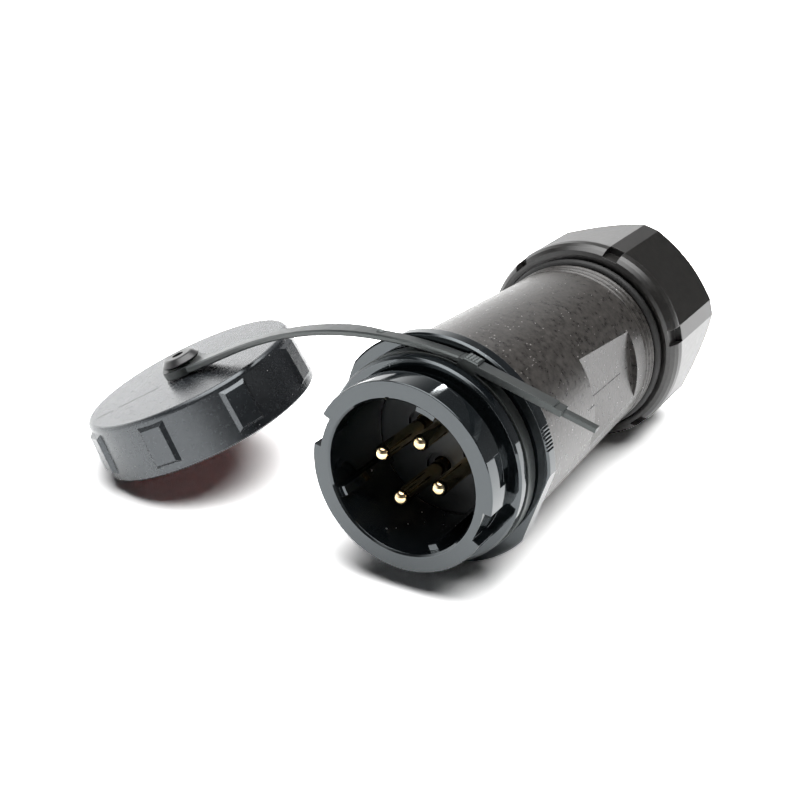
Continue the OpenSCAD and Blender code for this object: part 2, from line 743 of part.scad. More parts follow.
// Riveted button: dished head above the strap, shank through the cap's top, closing head inside
module cap_button() color([0.1, 0.1, 0.11]) on_cap() {
    head_z = cap_h + button_seat;
    closing_h = 0.8;
    closing_r = 0.9 * shank_d;
    dish_r = 0.15 * button_d;
    dish_depth = 0.3 * button_h;
    head_r = button_d / 2;
    rotate_extrude() polygon([
        [0, cap_bore_len - closing_h], [closing_r - edge, cap_bore_len - closing_h],
        [closing_r, cap_bore_len - closing_h + edge], [closing_r, cap_bore_len], [shank_d / 2, cap_bore_len],
        [shank_d / 2, head_z], [head_r - edge, head_z], [head_r, head_z + edge],
        [head_r, head_z + 0.3 * button_h], [head_r - button_bevel, head_z + 0.9 * button_h],
        [head_r - 1.4 * button_bevel, head_z + button_h], [dish_r, head_z + button_h],
        [dish_r, head_z + button_h - dish_depth], [0, head_z + button_h - dish_depth]
    ]);
}

// Width and both faces of the arm at a share of its length: the eyelet's at first, the loop's at last
arm_root_w = 2 * sqrt((eyelet_d / 2) ^ 2 - (eyelet_d / 2 - strap_t) ^ 2);
flare_share = flare_len / (3 * arm_pull_cap);
thin_share = 0.45;
narrow_from = 0.75;
narrow_to = 0.84;
function fade(t, to) = max(0, 1 - t / to);
function arm_flare(t) = (arm_root_w - arm_w) * fade(t, flare_share) ^ 2;
function arm_near(t) = -strap_w / 2 - arm_flare(t) / 2;
function arm_far(t) = strap_w / 2 + arm_flare(t) / 2
    + (arm_w - strap_w) * min(1, max(0, (narrow_to - t) / (narrow_to - narrow_from)));
function arm_top(t) = strap_t / 2 + (eyelet_t - strap_t) * fade(t, thin_share);
function arm_low(t) = strap_t / 2 - arm_t - (strap_t - arm_t) * fade(t, thin_share);

// Section of the arm as offsets across and through the strap, its corners cut
function arm_section(t) = [
    [arm_far(t), arm_top(t) - strap_chamfer], [arm_far(t) - strap_chamfer, arm_top(t)],
    [arm_near(t) + strap_chamfer, arm_top(t)], [arm_near(t), arm_top(t) - strap_chamfer],
    [arm_near(t), arm_low(t) + strap_chamfer], [arm_near(t) + strap_chamfer, arm_low(t)],
    [arm_far(t) - strap_chamfer, arm_low(t)], [arm_far(t), arm_low(t) + strap_chamfer]
];

// Directions across and out of the arm at a share of its length, turning from the cap's top to the neck
function arm_across(t) =
    across((1 - t) * arm_side_cap + t * arm_side_head, unit(bezier_slope(arm_curve, t)));
function arm_outward(t) = cross(unit(bezier_slope(arm_curve, t)), arm_across(t));
function arm_ring(t) =
    [for (q = arm_section(t)) bezier(arm_curve, t) + q[0] * arm_across(t) + q[1] * arm_outward(t)];

module strap_arm() {
    n = len(arm_section(0));
    rings = [for (k = [0 : arm_rings]) each arm_ring(k / arm_rings)];
    polyhedron(rings, [
        [for (j = [0 : n - 1]) j],
        for (k = [0 : arm_rings - 1]) for (j = [0 : n - 1]) each [
            [k * n + j, (k + 1) * n + j, (k + 1) * n + (j + 1) % n],
            [k * n + j, (k + 1) * n + (j + 1) % n, k * n + (j + 1) % n]
        ],
        [for (j = [n - 1 : -1 : 0]) arm_rings * n + j]
    ]);
}

// Places what is modelled at the strap's head: X along the tail, Y along the axis, Z outwards
module at_head() {
    translate(head_point) rotate([0, 90 - head_angle, 0]) children();
}

// Round dimple in the top of the arm, left by the mould
module arm_dimple() {
    dimple_r = 1.6;
    dimple_depth = 0.3;
    t = 0.83;
    translate(bezier(arm_curve, t) + 0.3 * arm_across(t)
        + (arm_top(t) + dimple_r - dimple_depth) * arm_outward(t)) sphere(dimple_r);
}

// Flat tail with cross teeth below, a low step and a narrow tongue
module strap_tail() {
    tooth_count = floor((tail_len - 2 * head_half) / tail_tooth_pitch);
    difference() {
        translate([0, strap_w / 2, 0]) rotate([90, 0, 0]) linear_extrude(strap_w)
            polygon([[0, -strap_t / 2], [tail_len, -strap_t / 2], [tail_len, strap_t / 2 - tongue_drop / 2],
                [tail_len - tail_step, strap_t / 2 - tongue_drop / 2], [tail_len - tail_step, strap_t / 2],
                [0, strap_t / 2]]);
        for (i = [0 : tooth_count - 1])
            translate([1.5 * head_half + i * tail_tooth_pitch, strap_w, -strap_t / 2]) rotate([90, 0, 0])
                linear_extrude(2 * strap_w)
                    polygon([[0, -past], [tail_tooth_pitch / 2, -past], [0, tail_tooth_depth]]);
    }
    translate([tail_len - past, tongue_w / 2, 0]) rotate([90, 0, 0]) linear_extrude(tongue_w)
        polygon([[0, -strap_t / 2], [tongue_len + past, -strap_t / 2],
            [tongue_len + past, strap_t / 2 - tongue_drop], [0, strap_t / 2 - tongue_drop]]);
}

// Square buckle on the loop, its front top edge broken
module strap_head() {
    top = strap_t / 2 + head_rise;
    difference() {
        translate([-head_half, -strap_w / 2, -strap_t]) cube([2 * head_half, strap_w, strap_t + top]);
        translate([-head_half - past, -strap_w / 2, top - edge / 2]) rotate([45, 0, 0])
            cube([2 * head_half + 2 * past, 2 * edge, 2 * edge]);
    }
}

// One moulded tie: eyelet on the button, arm, buckle, loop round the neck and tail
module cap_strap() color([0.34, 0.36, 0.35]) {
    difference() {
        union() {
            on_cap() translate([0, 0, cap_h + run_gap]) cylinder(d = eyelet_d, h = eyelet_t);
            strap_arm();
        }
        arm_dimple();
        on_cap() cylinder(d = shank_d + 2 * pivot_gap, h = cap_h + 2 * button_seat);
    }
    tube(loop_out_r, loop_in_r, strap_y - strap_w / 2, strap_y + strap_w / 2);
    at_head() {
        translate([head_shift, 0, 0]) strap_head();
        strap_tail();
    }
}

mating_shell();
insert_gasket();
pin_insert();
contact_pin_1();
contact_pin_2();
contact_pin_3();
contact_pin_4();
terminal_screws();
insert_ring();
barrel_seal();
rear_barrel();
nut_seal();
gland_cage();
cable_seal();
thrust_washer();
gland_nut();
cap();
cap_gasket();
cap_button();
cap_strap();
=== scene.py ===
import bpy
import json
import math
from mathutils import Matrix, Vector


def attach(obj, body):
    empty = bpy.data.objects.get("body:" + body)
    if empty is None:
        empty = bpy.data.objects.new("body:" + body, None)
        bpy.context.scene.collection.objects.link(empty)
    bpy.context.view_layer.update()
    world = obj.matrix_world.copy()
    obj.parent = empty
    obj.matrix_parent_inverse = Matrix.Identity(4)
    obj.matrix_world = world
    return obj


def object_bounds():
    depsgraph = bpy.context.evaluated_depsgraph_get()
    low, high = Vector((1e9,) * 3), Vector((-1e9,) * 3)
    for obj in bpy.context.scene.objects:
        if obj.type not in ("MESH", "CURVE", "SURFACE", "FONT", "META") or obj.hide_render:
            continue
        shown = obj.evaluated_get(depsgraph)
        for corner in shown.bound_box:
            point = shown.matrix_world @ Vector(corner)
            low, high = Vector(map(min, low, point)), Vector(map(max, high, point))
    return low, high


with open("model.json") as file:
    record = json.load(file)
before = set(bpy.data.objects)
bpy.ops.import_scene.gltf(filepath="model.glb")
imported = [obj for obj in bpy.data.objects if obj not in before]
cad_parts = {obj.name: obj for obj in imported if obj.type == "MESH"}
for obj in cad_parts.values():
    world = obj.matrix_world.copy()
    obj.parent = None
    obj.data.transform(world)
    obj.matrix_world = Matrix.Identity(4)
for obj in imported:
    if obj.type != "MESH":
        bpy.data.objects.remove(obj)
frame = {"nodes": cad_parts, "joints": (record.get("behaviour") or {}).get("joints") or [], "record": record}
nodes = frame["nodes"]
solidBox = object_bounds()
print("frame loaded:", len(nodes), "nodes")

mm = 0.001
white = (1, 1, 1)


# camera, at the photograph's angle, the picture taken as 800 x 800

cameraView = {
    "azimuth": math.radians(30.83),  # to the right of the mating face
    "elevation": math.radians(23.28),
    "place": (85.96 * mm, -143.86 * mm, 84.48 * mm),
    "lens": 58.5,
    "sensor": 36.0,
    "near": 0.01,
    "far": 20,
}


def makeCamera(view):
    azimuth, elevation = view["azimuth"], view["elevation"]
    back = Vector((math.sin(azimuth) * math.cos(elevation),
                   -math.cos(azimuth) * math.cos(elevation),
                   math.sin(elevation)))
    data = bpy.data.cameras.new("viewCamera")
    data.lens = view["lens"]
    data.sensor_width = view["sensor"]
    data.clip_start = view["near"]
    data.clip_end = view["far"]
    camera = bpy.data.objects.new("viewCamera", data)
    camera.location = view["place"]
    camera.rotation_mode = "QUATERNION"
    camera.rotation_quaternion = (-back).to_track_quat("-Z", "Y")
    bpy.context.scene.collection.objects.link(camera)
    bpy.context.scene.camera = camera


makeCamera(cameraView)
print("camera placed")


# node helpers: an input takes a plain value or another node's output

mixSockets = {"RGBA": (0, 6, 7), "FLOAT": (0, 2, 3)}  # a Mix node's share and the two that it mixes
mixResults = {"RGBA": 2, "FLOAT": 0}


def opaque(colour):
    return (*colour, 1)


def grey(level):
    return (level, level, level, 1)


def addNode(tree, kind, place, **settings):
    node = tree.nodes.new(kind)
    node.location = place
    for name, value in settings.items():
        setattr(node, name, value)
    return node


def feed(socket, value):
    if isinstance(value, bpy.types.NodeSocket):
        socket.id_data.links.new(value, socket)
    else:
        socket.default_value = value


def setInputs(node, **values):
    for name, value in values.items():
        feed(node.inputs[name.replace("_", " ")], value)


def addMath(tree, operation, place, *values, kind="ShaderNodeMath"):
    node = addNode(tree, kind, place, operation=operation)
    for socket, value in zip(node.inputs, values):
        feed(socket, value)
    return node.outputs["Value"]


def addMix(tree, kind, place, share, first, second):
    node = addNode(tree, "ShaderNodeMix", place, data_type=kind)
    for index, value in zip(mixSockets[kind], (share, first, second)):
        feed(node.inputs[index], value)
    return node.outputs[mixResults[kind]]


def addRange(tree, place, interpolation="LINEAR", **values):
    node = addNode(tree, "ShaderNodeMapRange", place, interpolation_type=interpolation)
    setInputs(node, **values)
    return node.outputs["Result"]


def newGroup(name, inputs, outputs):
    tree = bpy.data.node_groups.new(name, "ShaderNodeTree")
    for label, value in inputs.items():  # None makes a vector, a number a plain value
        kind = "NodeSocketVector" if value is None else "NodeSocketFloat"
        socket = tree.interface.new_socket(label, in_out="INPUT", socket_type=kind)
        if value is not None:
            socket.default_value = value
    for label in outputs:
        tree.interface.new_socket(label, in_out="OUTPUT", socket_type="NodeSocketFloat")
    start = addNode(tree, "NodeGroupInput", (-900, 0))
    end = addNode(tree, "NodeGroupOutput", (600, 0))
    return tree, start.outputs, end


def placeGroup(tree, group, place, **values):
    node = addNode(tree, "ShaderNodeGroup", place, node_tree=group)
    setInputs(node, **values)
    return node


# spark-eroded mould texture: fine pits and cells, and a slow mottle

mouldGrain = {
    "cellShare": 0.6,  # height of the cells beside that of the pits
    "mottleSpan": (0.36, 0.64),  # noise keeps to the middle of its range
}


def makeGrainGroup(look):
    tree, given, end = newGroup(
        "mouldGrain", {"Vector": None, "Grain": 2000, "Mottle Scale": 250}, ("Height", "Mottle"))
    pits = addNode(tree, "ShaderNodeTexNoise", (-600, 200))
    setInputs(pits, Vector=given["Vector"], Scale=given["Grain"], Detail=3, Roughness=0.6)
    cells = addNode(tree, "ShaderNodeTexVoronoi", (-600, -60), feature="SMOOTH_F1")
    setInputs(cells, Vector=given["Vector"], Scale=given["Grain"], Smoothness=0.6)
    slow = addNode(tree, "ShaderNodeTexNoise", (-600, -340))
    setInputs(slow, Vector=given["Vector"], Scale=given["Mottle Scale"], Detail=4, Roughness=0.6)
    height = addMath(tree, "MULTIPLY_ADD", (-300, 100),
                     cells.outputs["Distance"], look["cellShare"], pits.outputs["Fac"])
    low, high = look["mottleSpan"]
    mottle = addRange(tree, (-300, -340), Value=slow.outputs["Fac"], From_Min=low, From_Max=high)
    setInputs(end, Height=height, Mottle=mottle)
    return tree


# light dust: small round specks, most cells left empty, patchy, and denser about one place

dustSpecks = {"patchScale": 90, "patchDetail": 2}


def makeDustGroup(look):
    tree, given, end = newGroup(
        "dustSpecks",
        {"Vector": None, "Scale": 900, "Share": 0.1, "Size": 0.2,
         "Dense Place": None, "Dense Reach": 1 * mm, "Dense Share": 0},
        ("Mask",))
    cells = addNode(tree, "ShaderNodeTexVoronoi", (-600, 100))
    setInputs(cells, Vector=given["Vector"], Scale=given["Scale"])
    chance = addNode(tree, "ShaderNodeSeparateColor", (-400, -60))  # each cell has a colour of its own
    setInputs(chance, Color=cells.outputs["Color"])
    patchy = addNode(tree, "ShaderNodeTexNoise", (-600, -340))
    setInputs(patchy, Vector=given["Vector"], Scale=look["patchScale"], Detail=look["patchDetail"])
    away = addMath(tree, "DISTANCE", (-600, -560), given["Vector"], given["Dense Place"],
                   kind="ShaderNodeVectorMath")
    dense = addRange(tree, (-400, -560), "SMOOTHSTEP", Value=away,
                     From_Min=0, From_Max=given["Dense Reach"], To_Min=given["Dense Share"], To_Max=0)
    share = addMath(tree, "MULTIPLY", (-400, -300), patchy.outputs["Fac"], given["Share"])
    total = addMath(tree, "ADD", (-200, -420), share, dense)
    chosen = addMath(tree, "LESS_THAN", (0, -60), chance.outputs["Red"], total)
    radius = addMath(tree, "MULTIPLY", (-200, -240), chance.outputs["Green"], given["Size"])
    near = addMath(tree, "LESS_THAN", (0, 100), cells.outputs["Distance"], radius)
    setInputs(end, Mask=addMath(tree, "MULTIPLY", (200, 0), chosen, near))
    return tree


# fine straight line on a surface, broken here and there: a scratch, and a painted shade line

fineLine = {"breakScale": 400, "breakDetail": 1, "breakSpan": (0.38, 0.46)}


def makeLineGroup(look):
    tree, given, end = newGroup(
        "fineLine",
        {"Vector": None, "Across": None, "Offset": 0, "Half Width": 0.1 * mm,
         "Along": None, "From": 0, "To": 0, "Out": None, "Above": 0},
        ("Mask",))

    def measure(direction, y):
        return addMath(tree, "DOT_PRODUCT", (-650, y), given["Vector"], given[direction],
                       kind="ShaderNodeVectorMath")

    offCentre = addMath(tree, "SUBTRACT", (-450, 300), measure("Across", 300), given["Offset"])
    distance = addMath(tree, "ABSOLUTE", (-350, 300), offCentre)
    along = measure("Along", 60)
    out = measure("Out", -220)
    breaks = addNode(tree, "ShaderNodeTexNoise", (-650, -420))
    setInputs(breaks, Vector=given["Vector"], Scale=look["breakScale"], Detail=look["breakDetail"])
    low, high = look["breakSpan"]
    whole = addRange(tree, (-250, -420), Value=breaks.outputs["Fac"], From_Min=low, From_Max=high)
    narrow = addMath(tree, "LESS_THAN", (-250, 300), distance, given["Half Width"])
    begun = addMath(tree, "GREATER_THAN", (-250, 100), along, given["From"])
    ended = addMath(tree, "LESS_THAN", (-250, -60), along, given["To"])
    outer = addMath(tree, "GREATER_THAN", (-250, -220), out, given["Above"])
    stretch = addMath(tree, "MULTIPLY", (0, 20), begun, ended)
    drawn = addMath(tree, "MULTIPLY", (0, 240), narrow, outer)
    unbroken = addMath(tree, "MULTIPLY", (200, -60), stretch, whole)
    setInputs(end, Mask=addMath(tree, "MULTIPLY", (400, 80), drawn, unbroken))
    return tree


grainGroup = makeGrainGroup(mouldGrain)
dustGroup = makeDustGroup(dustSpecks)
lineGroup = makeLineGroup(fineLine)


# what every finish starts with: grain, and a colour and a roughness that follow its mottle

def startFinish(name, look):
    material = bpy.data.materials.new(name)
    material.use_nodes = True
    tree = material.node_tree
    where = addNode(tree, "ShaderNodeTexCoord", (-1300, 0)).outputs["Object"]
    grain = placeGroup(tree, grainGroup, (-1050, 100), Vector=where,
                       Grain=look["grain"], Mottle_Scale=look["mottle"])
    return material, tree.nodes["Principled BSDF"], where, grain


def addMottle(tree, shader, mottle, look):
    rough = addRange(tree, (-700, -50), Value=mottle, To_Min=look["smooth"], To_Max=look["rough"])
    setInputs(shader, Roughness=rough)
    return addMix(tree, "RGBA", (-700, 250), mottle, opaque(look["dark"]), opaque(look["light"]))


def addBump(tree, look, **inputs):
    bump = addNode(tree, "ShaderNodeBump", (-400, -250))
    setInputs(bump, Strength=look["bump"], Distance=look["depth"], **inputs)
    return bump.outputs["Normal"]


# one moulded plastic or rubber, with dust

mouldedCorner = {"radius": 0.12 * mm, "samples": 6}  # moulded corners are a little round


def mouldedFinish(name, look):
    material, shader, where, grain = startFinish(name, look)
    tree = material.node_tree
    shade = addMottle(tree, shader, grain.outputs["Mottle"], look)
    dust = None
    for row, dense in enumerate(look.get("dense", [{}])):  # one set of specks for each dusty place
        y = -250 - 300 * row
        specks = placeGroup(tree, dustGroup, (-1050, y), Vector=where, Scale=look["dustScale"],
                            Share=look["dustShare"], Size=look["dustSize"], **dense)
        mask = specks.outputs["Mask"]
        dust = mask if dust is None else addMath(tree, "MAXIMUM", (-850, y), dust, mask)
    dusty = addMix(tree, "RGBA", (-400, 250), dust, shade, opaque(look["dust"]))
    corner = addNode(tree, "ShaderNodeBevel", (-700, -450), samples=mouldedCorner["samples"])
    setInputs(corner, Radius=mouldedCorner["radius"])
    normal = addBump(tree, look, Height=grain.outputs["Height"], Normal=corner.outputs["Normal"])
    setInputs(shader, Base_Color=dusty, Normal=normal, Metallic=0, IOR=look["ior"],
              Specular_Tint=opaque(look.get("gleam", white)))
    return material


# metals: drawn or turned, with a faint variation, and painted shade that darkens the colour deep inside the
# part

def metalFinish(name, look):
    material, shader, where, grain = startFinish(name, look)
    tree = material.node_tree
    shade = addMottle(tree, shader, grain.outputs["Mottle"], look)
    depth = addNode(tree, "ShaderNodeSeparateXYZ", (-1050, 450))
    setInputs(depth, Vector=where)
    # painted shade: the colour darkens along Y, deeper into the part
    inside = addRange(tree, (-800, 450), Value=depth.outputs["Y"],
                      From_Min=look["paintedShadeFrom"], From_Max=look["paintedShadeTo"])
    shadedColour = addMix(tree, "RGBA", (-400, 350), inside, shade, opaque(look["paintedShade"]))
    turning = addNode(tree, "ShaderNodeTexWave", (-1050, -250), bands_direction="Y")
    setInputs(turning, Vector=where, Scale=look["turning"], Distortion=0.4, Detail=1)
    normal = addBump(tree, look, Height=turning.outputs["Fac"])
    setInputs(shader, Base_Color=shadedColour, Normal=normal, Metallic=1)
    return material


# draws a fine line into a moulded finish: darker and rougher than what is round it

def drawLine(material, look, base, along, across, out):
    tree = material.node_tree
    shader = tree.nodes["Principled BSDF"]
    where = addNode(tree, "ShaderNodeTexCoord", (-1300, -700))
    line = placeGroup(
        tree, lineGroup, (-1050, -700), Vector=where.outputs["Object"],
        Across=across, Offset=across.dot(base) + look["offset"], Half_Width=look["halfWidth"],
        Along=along, From=along.dot(base) + look["from"], To=along.dot(base) + look["to"],
        Out=out, Above=out.dot(base) - look["depth"])
    marks = (
        ("Base Color", "RGBA", opaque(look["colour"]), 250),
        ("Roughness", "FLOAT", look["rough"], -50),
    )
    for name, kind, value, y in marks:
        socket = shader.inputs[name]
        before = socket.links[0].from_socket
        feed(socket, addMix(tree, kind, (-200, y), line.outputs["Mask"], before, value))


# grain, mottle and dustScale are cells per metre, smooth and rough the ends of the roughness

shellLook = {
    "dark": (0.009, 0.0115, 0.0135), "light": (0.012, 0.0155, 0.018),
    "ior": 1.8, "gleam": (0.88, 0.96, 1.0),
    "grain": 2500, "mottle": 220, "smooth": 0.045, "rough": 0.07, "bump": 0.01, "depth": 0.02 * mm,
    "dust": (0.7, 0.71, 0.73), "dustScale": 1300, "dustShare": 0.05, "dustSize": 0.2,
    "dense": [
        {"Dense_Place": (-1 * mm, 7 * mm, -12 * mm), "Dense_Reach": 9 * mm, "Dense_Share": 0.3},
        {"Dense_Place": (9.3 * mm, 2.4 * mm, 11.7 * mm), "Dense_Reach": 6 * mm, "Dense_Share": 0.3},
    ],
}
insertLook = {
    "dark": (0.012, 0.0145, 0.0155), "light": (0.019, 0.022, 0.0235), "ior": 1.5,
    "grain": 2600, "mottle": 300, "smooth": 0.35, "rough": 0.45, "bump": 0.1, "depth": 0.02 * mm,
    "dust": (0.3, 0.3, 0.3), "dustScale": 900, "dustShare": 0.03, "dustSize": 0.2,
}
barrelLook = {
    "dark": (0.031, 0.0285, 0.0265), "light": (0.09, 0.083, 0.0775), "ior": 1.57,
    "grain": 2200, "mottle": 1050, "smooth": 0.27, "rough": 0.36, "bump": 0.45, "depth": 0.065 * mm,
    "dust": (0.65, 0.63, 0.61), "dustScale": 2100, "dustShare": 0.22, "dustSize": 0.26,
    "dense": [
        {"Dense_Place": (5 * mm, 20 * mm, 15 * mm), "Dense_Reach": 11 * mm, "Dense_Share": 0.5},
    ],
}
nutLook = {
    "dark": (0.013, 0.0125, 0.0118), "light": (0.025, 0.0238, 0.0225), "ior": 1.62,
    "grain": 2400, "mottle": 900, "smooth": 0.28, "rough": 0.32, "bump": 0.12, "depth": 0.03 * mm,
    "dust": (0.4, 0.4, 0.4), "dustScale": 1300, "dustShare": 0.04, "dustSize": 0.2,
}
capLook = {
    "dark": (0.024, 0.0268, 0.0305), "light": (0.03, 0.033, 0.037),
    "ior": 1.75, "gleam": (0.9, 0.96, 1.0),
    "grain": 2000, "mottle": 1100, "smooth": 0.24, "rough": 0.28, "bump": 0.16, "depth": 0.04 * mm,
    "dust": (0.6, 0.6, 0.6), "dustScale": 1200, "dustShare": 0.06, "dustSize": 0.2,
}
buttonLook = {
    "dark": (0.012, 0.012, 0.013), "light": (0.02, 0.02, 0.021), "ior": 1.6,
    "grain": 2600, "mottle": 300, "smooth": 0.28, "rough": 0.36, "bump": 0.08, "depth": 0.02 * mm,
    "dust": (0.4, 0.4, 0.4), "dustScale": 900, "dustShare": 0.03, "dustSize": 0.2,
}
strapLook = {
    "dark": (0.017, 0.0185, 0.0185), "light": (0.024, 0.026, 0.0255),
    "ior": 1.72, "gleam": (0.92, 1.0, 0.99),
    "grain": 3000, "mottle": 900, "smooth": 0.36, "rough": 0.42, "bump": 0.06, "depth": 0.02 * mm,
    "dust": (0.5, 0.5, 0.5), "dustScale": 1000, "dustShare": 0.02, "dustSize": 0.2,
}
sealLook = {
    "dark": (0.006, 0.006, 0.006), "light": (0.012, 0.012, 0.012), "ior": 1.5,
    "grain": 2200, "mottle": 300, "smooth": 0.5, "rough": 0.65, "bump": 0.2, "depth": 0.02 * mm,
    "dust": (0.2, 0.2, 0.2), "dustScale": 900, "dustShare": 0.03, "dustSize": 0.2,
}
gasketLook = {
    "dark": (0.3, 0.03, 0.014), "light": (0.42, 0.045, 0.02), "ior": 1.45,
    "grain": 2200, "mottle": 300, "smooth": 0.45, "rough": 0.6, "bump": 0.15, "depth": 0.02 * mm,
    "dust": (0.6, 0.4, 0.35), "dustScale": 900, "dustShare": 0.03, "dustSize": 0.2,
}
cageLook = {
    "dark": (0.52, 0.5, 0.44), "light": (0.66, 0.64, 0.58), "ior": 1.5,
    "grain": 2200, "mottle": 260, "smooth": 0.38, "rough": 0.5, "bump": 0.1, "depth": 0.02 * mm,
    "dust": (0.3, 0.28, 0.25), "dustScale": 900, "dustShare": 0.02, "dustSize": 0.2,
}
goldLook = {
    "dark": (0.74, 0.56, 0.31), "light": (0.92, 0.77, 0.51),
    "grain": 2500, "mottle": 600, "smooth": 0.05, "rough": 0.1, "bump": 0.02, "depth": 0.01 * mm,
    # painted shade: the gold turns dark towards the pins' roots deep in the socket
    "turning": 6000, "paintedShade": (0.06, 0.042, 0.02), "paintedShadeFrom": 12 * mm, "paintedShadeTo": 15.6 * mm,
}
screwLook = {
    "dark": (0.5, 0.5, 0.51), "light": (0.68, 0.68, 0.69),
    "grain": 2500, "mottle": 600, "smooth": 0.25, "rough": 0.4, "bump": 0.1, "depth": 0.01 * mm,
    # painted shade: darker from 40 to 50 mm along Y
    "turning": 5000, "paintedShade": (0.3, 0.3, 0.3), "paintedShadeFrom": 40 * mm, "paintedShadeTo": 50 * mm,
}

finishes = {
    "black_gloss": mouldedFinish("shellGloss", shellLook),
    "black_insert": mouldedFinish("insertSatin", insertLook),
    "barrel_plastic": mouldedFinish("barrelGrain", barrelLook),
    "nut_plastic": mouldedFinish("nutSatin", nutLook),
    "cap_plastic": mouldedFinish("capSatin", capLook),
    "button_plastic": mouldedFinish("buttonSatin", buttonLook),
    "strap_plastic": mouldedFinish("strapNylon", strapLook),
    "seal_rubber": mouldedFinish("sealRubber", sealLook),
    "gasket_silicone": mouldedFinish("gasketSilicone", gasketLook),
    "cage_plastic": mouldedFinish("cageNylon", cageLook),
    "gold_contact": metalFinish("contactGold", goldLook),
    "screw_steel": metalFinish("screwZinc", screwLook),
}

for part in frame["record"]["subparts"]:
    solid = nodes[part["node"]]
    solid.data.materials.clear()
    solid.data.materials.append(finishes[part["material_slot"]])
print("finishes set on", len(nodes), "solids")


# scratch on the cap's top, from the button outwards

capScratch = {
    "angle": math.radians(21),  # from the way that the top slopes down
    "offset": 1.64 * mm,
    "from": 4.3 * mm,
    "to": 17.3 * mm,
    "halfWidth": 0.16 * mm,
    "depth": 0.15 * mm,  # how far under the flat top it still shows
    "colour": (0.004, 0.004, 0.005),
    "rough": 0.7,
}


def scratchCap(look):
    swivel = next(joint for joint in frame["joints"] if joint["name"] == "cap_swivel")
    top, out = Vector(swivel["pos_m"]), Vector(swivel["axis"])
    down = (out * out.z - Vector((0, 0, 1))).normalized()
    side = out.cross(down)
    along = down * math.cos(look["angle"]) + side * math.sin(look["angle"])
    across = side * math.cos(look["angle"]) - down * math.sin(look["angle"])
    drawLine(finishes["cap_plastic"], look, top, along, across, out)


# painted shade: a thin dark line along the barrel's right side, for the shadow line at the edge of its flat

barrelShadeLine = {
    "angle": math.radians(9.5),  # up from level
    "offset": 0,
    "from": 31 * mm,
    "to": 52 * mm,
    "halfWidth": 0.09 * mm,
    "depth": 0,
    "colour": (0.006, 0.006, 0.006),
    "rough": 0.8,
}


def shadeBarrelFlat(look):
    across = Vector((-math.sin(look["angle"]), 0, math.cos(look["angle"])))
    drawLine(finishes["barrel_plastic"], look, Vector(), Vector((0, 1, 0)), across, Vector((1, 0, 0)))


scratchCap(capScratch)
# painted shade line on the barrel
shadeBarrelFlat(barrelShadeLine)
print("fine lines drawn")


# mesh helpers

def startPiece(name):
    piece = bpy.context.object
    piece.name = name
    piece.data.name = name
    return piece


def editFaces(piece, wanted):
    bpy.ops.object.mode_set(mode="EDIT")
    bpy.ops.mesh.select_mode(type="FACE")
    bpy.ops.mesh.select_all(action="DESELECT")
    bpy.ops.object.mode_set(mode="OBJECT")
    for face in piece.data.polygons:
        face.select = wanted(face)
    bpy.ops.object.mode_set(mode="EDIT")


def turnOutwards():
    bpy.ops.mesh.select_all(action="SELECT")
    bpy.ops.mesh.normals_make_consistent(inside=False)
    bpy.ops.object.mode_set(mode="OBJECT")


def settle(piece, matrix, slot, body):
    piece.data.transform(matrix)
    piece.matrix_world = Matrix.Identity(4)
    piece.data.materials.clear()
    piece.data.materials.append(finishes[slot])
    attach(piece, body)


# knurled pad on the top of the strap's head: a plate whose top is poked into points

headKnurl = {
    "rows": 4,
    "length": 2.1 * mm,
    "width": 1.9 * mm,
    "thick": 0.2 * mm,
    "topFrom": 0.9,  # share of the thickness above which a face is one of the top's
    "point": 0.16 * mm,
    "angle": math.radians(74),  # of the head, round the connector's axis
    "radius": 17.15 * mm,
    "rise": 0.85 * mm,
    "along": 1.9 * mm,
    "axial": 9.45 * mm,
}


def makeKnurl(look):
    bpy.ops.object.select_all(action="DESELECT")
    bpy.ops.mesh.primitive_grid_add(x_subdivisions=look["rows"], y_subdivisions=look["rows"], size=1)
    piece = startPiece("strapHeadKnurl")
    piece.data.transform(Matrix.Diagonal((look["length"], look["width"], 1, 1)))
    bpy.ops.object.mode_set(mode="EDIT")
    bpy.ops.mesh.select_all(action="SELECT")
    bpy.ops.mesh.extrude_region_move(TRANSFORM_OT_translate={"value": (0, 0, look["thick"])})
    bpy.ops.object.mode_set(mode="OBJECT")
    editFaces(piece, lambda face: face.center.z > look["topFrom"] * look["thick"])
    bpy.ops.mesh.poke(offset=look["point"], use_relative_offset=False)
    turnOutwards()
    out = Vector((math.cos(look["angle"]), 0, math.sin(look["angle"])))
    tail = Vector((math.sin(look["angle"]), 0, -math.cos(look["angle"])))
    turn = Matrix((tail, (0, 1, 0), out)).transposed().to_4x4()
    place = out * (look["radius"] + look["rise"] - look["thick"] / 2) + tail * look["along"]
    place.y = look["axial"]
    settle(piece, Matrix.Translation(place) @ turn, "strap_plastic", "strap")
    print("knurl:", len(piece.data.polygons), "faces")


# thread of the gland, seen when the nut is screwed back

glandThread = {
    "root": 14.2 * mm,
    "crest": 14.52 * mm,
    "pitch": 1.5 * mm,
    "rootShare": 0.8,  # of the pitch, at the foot of the ridge
    "crestShare": 0.15,  # of the pitch, at its top
    "from": 64.2 * mm,
    "turns": 7,
    "steps": 64,
}


